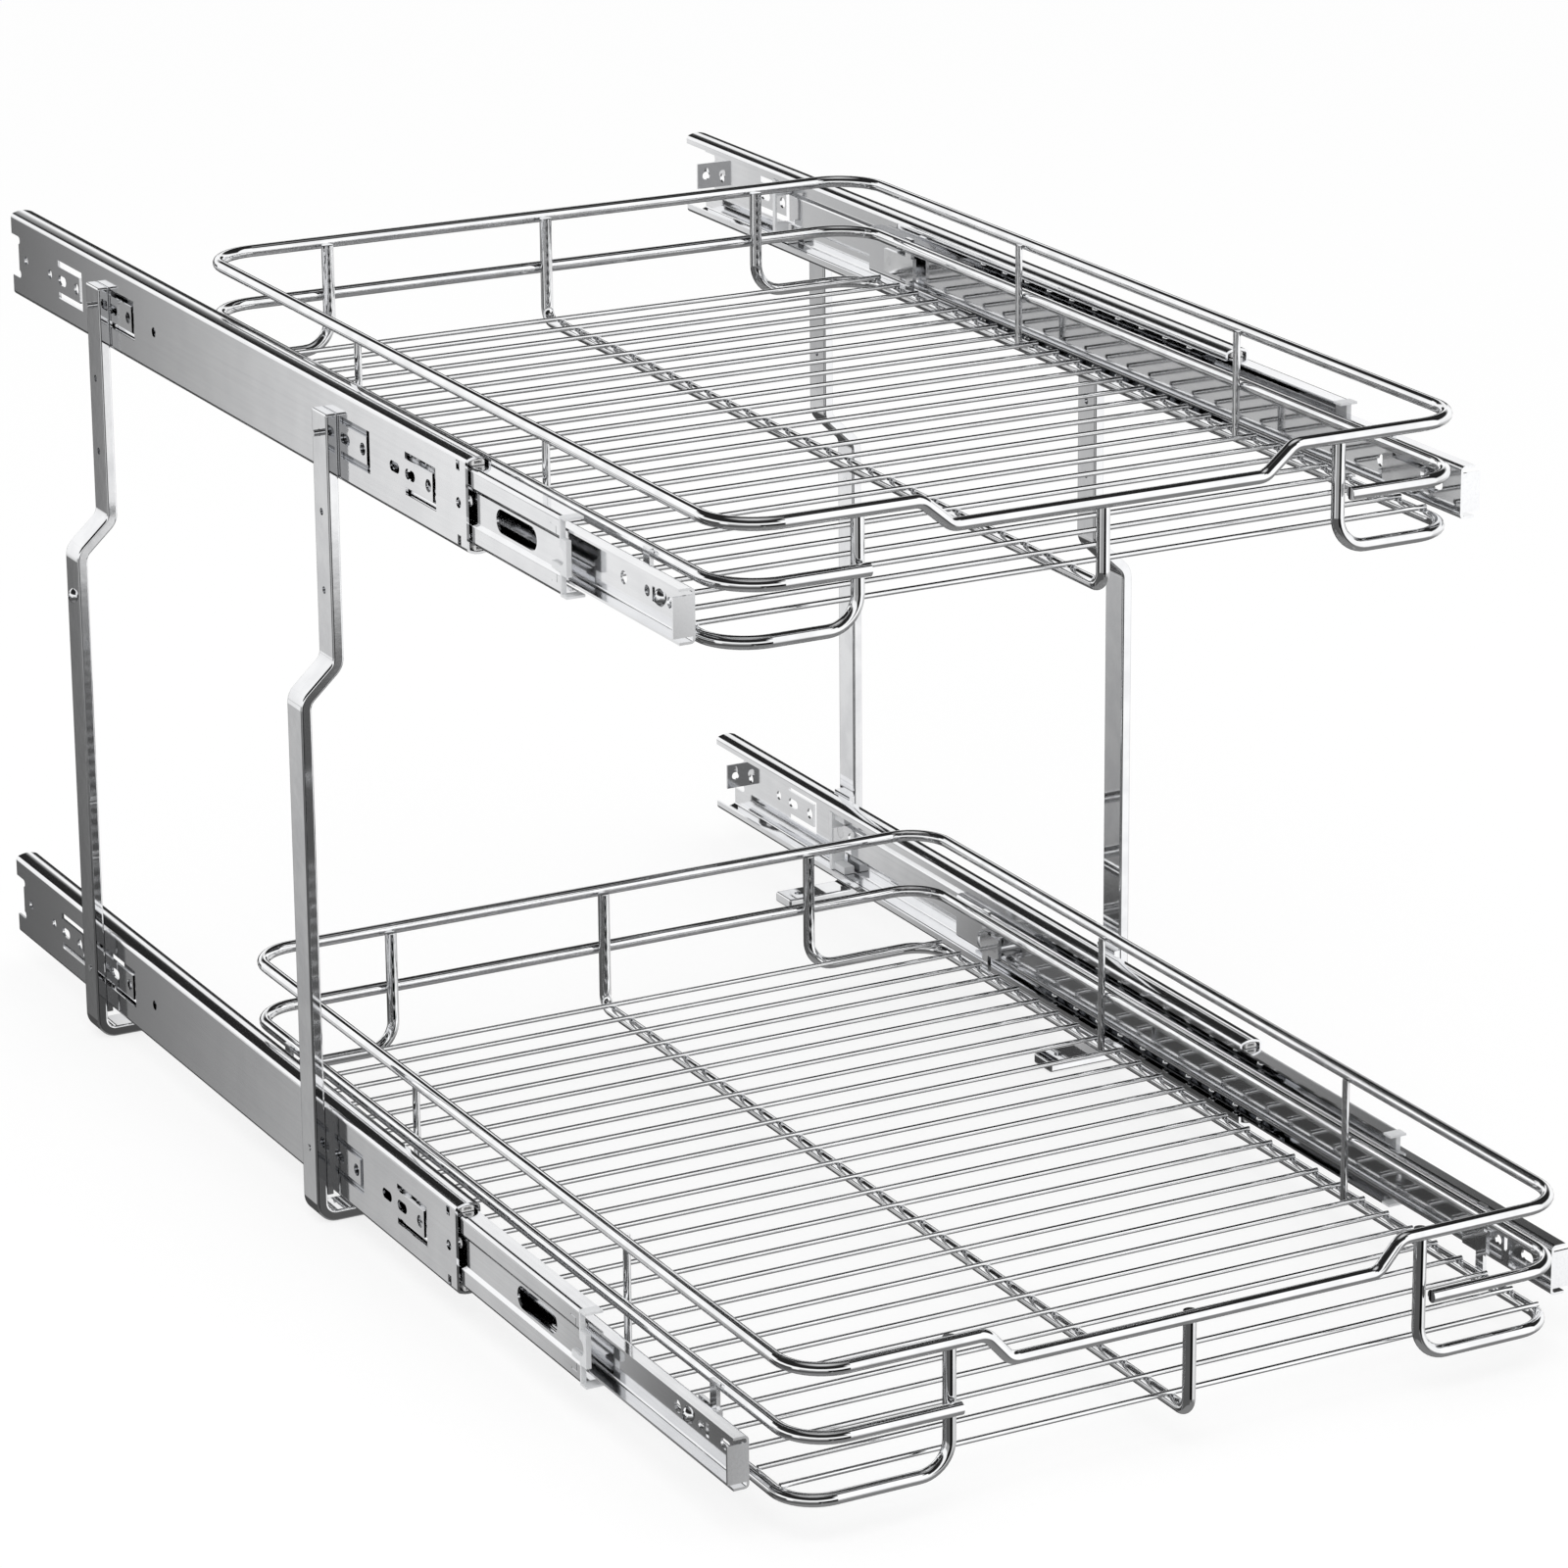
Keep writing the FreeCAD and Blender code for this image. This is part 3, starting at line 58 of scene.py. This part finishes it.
class Shader:
    def __init__(self, tree):
        self.tree = tree
        tree.nodes.clear()

    def add(self, kind, settings=None, sockets=None, outlet=0):
        node = self.tree.nodes.new(kind)
        for name, value in (settings or {}).items():
            if name == "stops":
                fillRamp(node.color_ramp, value)
            else:
                setattr(node, name, value)
        for name, value in (sockets or {}).items():
            if isinstance(value, Signal):
                self.tree.links.new(value.socket, node.inputs[name])
            else:
                node.inputs[name].default_value = value
        return Signal(self, node, outlet)

    def place(self):  # Object coordinates, in metres in the shelf's own frame
        return self.add("ShaderNodeTexCoord", outlet="Object")

    def axes(self, vector):
        split = self.add("ShaderNodeSeparateXYZ", {}, {0: vector})
        return [Signal(self, split.node, axis) for axis in "XYZ"]

    def stretch(self, vector, scale):
        return self.add("ShaderNodeMapping", {}, {"Vector": vector, "Scale": scale})

    def noise(self, vector, scale, detail=3.0, roughness=0.55):
        return self.add("ShaderNodeTexNoise", {}, {"Vector": vector, "Scale": scale,
                                                  "Detail": detail, "Roughness": roughness})

    def tint(self, factor, first, second):  # a colour between two colours
        colours = {"Factor": factor, 6: (*first, 1), 7: (*second, 1)}
        return self.add("ShaderNodeMix", {"data_type": "RGBA"}, colours, outlet=2)


def fillRamp(ramp, stops):
    while len(ramp.elements) < len(stops):
        ramp.elements.new(1.0)
    for element, (position, value) in zip(ramp.elements, stops):
        element.position = position
        element.color = (value, value, value, 1)


def newFinish(name, **fixed):
    material = bpy.data.materials.new(name)
    material.use_nodes = True
    shader = Shader(material.node_tree)
    surface = shader.add("ShaderNodeBsdfPrincipled", {}, fixed)
    shader.surface = surface.node
    shader.material = material
    shader.add("ShaderNodeOutputMaterial", {}, {"Surface": surface})
    return shader


def feed(shader, name, value):
    shader.tree.links.new(value.socket, shader.surface.inputs[name])


def bumps(shader, height, look):
    feed(shader, "Normal", shader.add("ShaderNodeBump", {}, {"Height": height,
                                                             "Strength": look["bump"],
                                                             "Distance": look["bumpHeight"]}))


# Finishes

chrome = {
    "light": (0.90, 0.905, 0.915),
    "dull": (0.80, 0.805, 0.815),
    "roughness": 0.03,
    "haze": 0.02,             # roughness that the clouding adds
    "cloudScale": 60.0,
    "dullBand": (0.35, 0.7),  # levels of the clouding between which the colour dulls
    "hazeBand": (0.4, 0.8),
    "rippleScale": 180.0,
    "bump": 0.015,
    "bumpHeight": 0.0004,
}


def makeChrome(name, look):
    shader = newFinish(name, Metallic=1.0)
    place = shader.place()
    clouds = shader.noise(place, look["cloudScale"])
    shade = clouds.smooth(*look["dullBand"])
    feed(shader, "Base Color", shader.tint(shade, look["light"], look["dull"]))
    haze = clouds.smooth(*look["hazeBand"]) * look["haze"]
    feed(shader, "Roughness", haze + look["roughness"])
    bumps(shader, shader.noise(place, look["rippleScale"]), look)
    return shader.material


zinc = {
    "light": (0.87, 0.875, 0.885),
    "dull": (0.80, 0.805, 0.82),
    "roughness": 0.055,
    "haze": 0.03,                    # roughness that the rolling lines add
    "grain": (700.0, 9.0, 700.0),    # rolling lines run along the slides
    "lineDetail": 4.0,
    "lineBand": (0.3, 0.75),
    "lineShare": 0.5,                # the rest of the shade comes from the spangle
    "spangle": 45.0,
    "spangleDetail": 2.0,
    "spangleBand": (0.35, 0.7),
    "bump": 0.012,
    "bumpHeight": 0.0001,
}


def makeZinc(name, look):
    shader = newFinish(name, Metallic=1.0)
    place = shader.place()
    lines = shader.noise(shader.stretch(place, look["grain"]), 1.0, look["lineDetail"])
    spangle = shader.noise(place, look["spangle"], look["spangleDetail"])
    shade = lines.smooth(*look["lineBand"]) * look["lineShare"] \
        + spangle.smooth(*look["spangleBand"]) * (1 - look["lineShare"])
    feed(shader, "Base Color", shader.tint(shade, look["light"], look["dull"]))
    feed(shader, "Roughness", (lines + spangle) * look["haze"] + look["roughness"])
    bumps(shader, lines, look)
    return shader.material


plastic = {
    "colour": (0.80, 0.81, 0.82),
    "shade": (0.72, 0.73, 0.745),
    "roughness": 0.42,
    "haze": 0.12,          # roughness that the grain adds
    "grain": 700.0,
    "cloudScale": 40.0,
    "cloudBand": (0.3, 0.75),
    "bump": 0.1,
    "bumpHeight": 0.0002,
}


def makePlastic(name, look):
    shader = newFinish(name)
    place = shader.place()
    grain = shader.noise(place, look["grain"])
    shade = shader.noise(place, look["cloudScale"]).smooth(*look["cloudBand"])
    feed(shader, "Base Color", shader.tint(shade, look["colour"], look["shade"]))
    feed(shader, "Roughness", grain * look["haze"] + look["roughness"])
    bumps(shader, grain, look)
    return shader.material


finishes = {
    "chromedWire": makeChrome("chromedWire", chrome),
    "chromedPlate": makeChrome("chromedPlate", {**chrome, "roughness": 0.12}),
    "bar": makeChrome("chromedBar", {**chrome, "light": (0.84, 0.845, 0.855),
                                     "dull": (0.76, 0.765, 0.78), "roughness": 0.04}),
    "zinc": makeZinc("zincSheet", zinc),
    "cage": makeZinc("zincStrip", {**zinc, "light": (0.42, 0.43, 0.45),
                                   "dull": (0.30, 0.31, 0.33), "roughness": 0.12}),
    "ball": makeChrome("bearingSteel", {**chrome, "roughness": 0.05}),
    "screw": makeZinc("zincScrew", {**zinc, "roughness": 0.08, "grain": (300, 300, 300)}),
    "bumper": makePlastic("greyPlastic", plastic),
    "buffer": makePlastic("whitePlastic", {**plastic, "colour": (0.88, 0.88, 0.88),
                                           "shade": (0.82, 0.82, 0.82)}),
}
wearers = {    # words in the nodes' names and their finishes: the first word found counts
    "cross_wires": "chromedWire", "rail": "chromedWire", "loop": "chromedWire",
    "side_posts": "chromedWire", "fixing_tabs": "chromedPlate", "_post": "bar",
    "cage": "cage", "balls": "ball", "screws": "screw", "spacers": "screw",
    "bumpers": "bumper", "buffers": "buffer", "member": "zinc",
}
for nodeName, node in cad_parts.items():
    word = next(word for word in wearers if word in nodeName)
    node.data.materials.clear()
    node.data.materials.append(finishes[wearers[word]])
print("finishes made")

# Floor

ground = {
    "size": 40.0,
    "drop": 0.0005,        # how far it lies under the feet
    "colour": (0.92, 0.92, 0.92),
    "glow": 0.72,          # share of its own light in what the camera sees
    "glowLevel": 1.06,
}


def makeFloor():
    shape = bmesh.new()
    bmesh.ops.create_grid(shape, x_segments=1, y_segments=1, size=ground["size"] / 2)
    mesh = bpy.data.meshes.new("floor")
    shape.to_mesh(mesh)
    shape.free()
    floor = bpy.data.objects.new("floor", mesh)
    floor.location.z = -ground["drop"]
    scene.collection.objects.link(floor)
    material = bpy.data.materials.new("paleFloor")
    material.use_nodes = True
    shader = Shader(material.node_tree)
    matt = shader.add("ShaderNodeBsdfDiffuse", {}, {"Color": (*ground["colour"], 1)})
    glow = shader.add("ShaderNodeEmission", {}, {"Color": (1, 1, 1, 1),
                                                 "Strength": ground["glowLevel"]})
    seen = shader.add("ShaderNodeLightPath", outlet="Is Camera Ray")
    both = shader.add("ShaderNodeMixShader", {}, {0: seen * ground["glow"], 1: matt, 2: glow})
    shader.add("ShaderNodeOutputMaterial", {}, {"Surface": both})
    mesh.materials.append(material)
    floor.visible_glossy = False


makeFloor()

# Light: an even room, and a studio that only polished metal shows

room = {
    "mattLevel": 0.85,    # light on surfaces that aren't polished
    "elevationStops": ((-90, 0.25), (-36, 0.22), (-26, 0.66), (-20.5, 0.6), (-16, 0.94),
                       (-11, 1.0), (16, 1.1), (20.5, 0.3), (23, 0.02), (62, 0.02), (75, 0.5),
                       (90, 0.8)),
    "cards": (    # azimuth, elevation, half width, half height, softness in degrees, level
        (131, 14, 20.5, 38, 1.5, 1.15),
        (150, 10, 14, 26.5, 1.5, 1.15),
        (-136, -16, 29, 14, 3, 0.38),
        (-68, -16, 24, 14, 3, 0.04),
        (-110, -34, 60, 16.5, 2, 0.1),
        (170, -27, 17, 10.5, 1, 0.1),
        (178.5, -16, 18.5, 12, 2, 0.005),
        (-17, 24, 10, 8, 2, 1.1),
        (-38, 18, 11, 9, 1.5, 1.1),
        (25.5, 20.5, 5, 5, 1, 1.0),
        (28, 2.5, 9, 8.5, 1.5, 0.02),
        (34.5, 3.8, 6.2, 8.3, 1, 0.02),
        (10.6, -22, 32.7, 24, 2.9, 0.075),
        (-38, -15.5, 8, 5, 1.5, 0.55),
        (-33, -10.9, 5.6, 3.9, 0.8, 0.45),
        (-38, -24.5, 8, 7.5, 2, 0.33),
        (-31.9, -34, 6.1, 10.6, 0.7, 0.08),
        (-37, -32, 7.5, 12.7, 0.6, 0.05),
    ),
}


def makeWorld():
    world = bpy.data.worlds.new("studio")
    world.use_nodes = True
    scene.world = world
    shader = Shader(world.node_tree)
    way = shader.add("ShaderNodeTexCoord", outlet="Generated")
    x, y, z = shader.axes(way)
    elevation = z.maths("ARCSINE", z) / math.radians(1)
    stops = [(angle / 180 + 0.5, level) for angle, level in room["elevationStops"]]
    look = shader.add("ShaderNodeValToRGB", {"stops": stops}, {"Fac": elevation / 180 + 0.5})
    level = shader.axes(look)[0]
    for azimuth, height, halfWidth, halfHeight, soft, strength in room["cards"]:
        turn = math.radians(azimuth)
        side = x * math.cos(turn) - y * math.sin(turn)
        ahead = x * math.sin(turn) + y * math.cos(turn)
        across = side.maths("ARCTAN2", side, ahead) / math.radians(1)
        mask = 1.0 - abs(across).smooth(halfWidth - soft, halfWidth + soft)
        above = abs(elevation - height)
        mask = mask * (1.0 - above.smooth(halfHeight - soft, halfHeight + soft))
        level = level * (1.0 - mask) + mask * strength
    ray = shader.add("ShaderNodeLightPath")
    isCamera = Signal(shader, ray.node, "Is Camera Ray")
    isGlossy = Signal(shader, ray.node, "Is Glossy Ray")
    strength = (level * isGlossy + (1.0 - isGlossy) * room["mattLevel"]) * (1.0 - isCamera) \
        + isCamera
    back = shader.add("ShaderNodeBackground", {}, {"Color": (1, 1, 1, 1), "Strength": strength})
    shader.add("ShaderNodeOutputWorld", {}, {"Surface": back})


makeWorld()

softbox = {
    "power": 14.0,
    "size": (1.6, 1.2),
    "place": (-0.9, -1.4, 2.1),
    "aim": (0, -0.1, 0.2),
}
lamp = bpy.data.lights.new("key", "AREA")
lamp.energy = softbox["power"]
lamp.shape = "RECTANGLE"
lamp.size, lamp.size_y = softbox["size"]
key = bpy.data.objects.new("key", lamp)
key.location = softbox["place"]
way = Vector(softbox["aim"]) - key.location
key.rotation_euler = way.to_track_quat("-Z", "Y").to_euler()
key.visible_glossy = False
scene.collection.objects.link(key)
print("light set")

# Camera at the photograph's angle

view = {
    "place": (-1.228, -2.536, 1.080),
    "yaw": 0.513,
    "pitch": 0.295,
    "sensor": 36,
    "focal": 5910 / 1600,     # focal length over frame width
    "shift": (-0.1, -0.1),
}
camera = bpy.data.objects.new("camera", bpy.data.cameras.new("camera"))
camera.data.sensor_width = view["sensor"]
camera.data.lens = view["sensor"] * view["focal"]
camera.data.shift_x, camera.data.shift_y = view["shift"]
camera.location = view["place"]
camera.rotation_euler = (math.pi / 2 - view["pitch"], 0, -view["yaw"])
scene.collection.objects.link(camera)
scene.camera = camera
scene.view_settings.view_transform = "Standard"
print("camera set")
